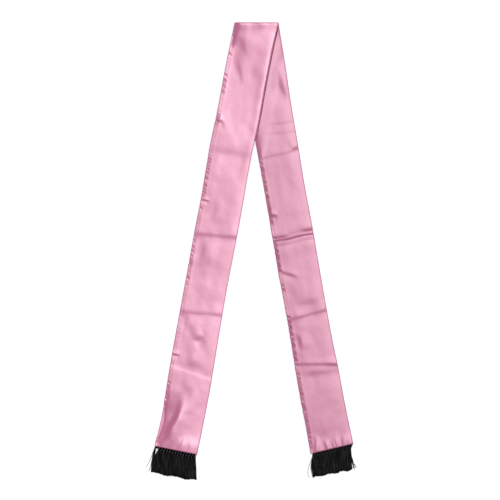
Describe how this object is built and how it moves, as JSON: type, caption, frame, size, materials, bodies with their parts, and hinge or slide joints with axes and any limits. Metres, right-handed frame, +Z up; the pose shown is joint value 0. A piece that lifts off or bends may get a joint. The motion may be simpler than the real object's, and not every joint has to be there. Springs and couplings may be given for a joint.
{
  "type": "neck scarf",
  "caption": "Slim satin neck scarf with fringed ends, folded in half at its middle and laid flat so that its ends spread apart.",
  "frame": {"origin": "on the floor, below the centre of the scarf's box as it lies", "axes": "+Z up from the floor, +Y from the fringes towards the fold, +X from the upper stretch's end towards the lower stretch's end"},
  "size_m": [0.343, 0.7436, 0.0059],
  "materials": {
    "pink_satin": "warp-faced polyester satin, smooth with a soft lengthwise sheen",
    "black_fringe": "matt black rayon fringe with a ribbed heading and loose strands"
  },
  "bodies": {
    "root": {"satin_upper_stretch": "pink_satin", "satin_lower_stretch": "pink_satin", "fringe_upper_end": "black_fringe", "fringe_lower_end": "black_fringe"}
  },
  "joints": []
}
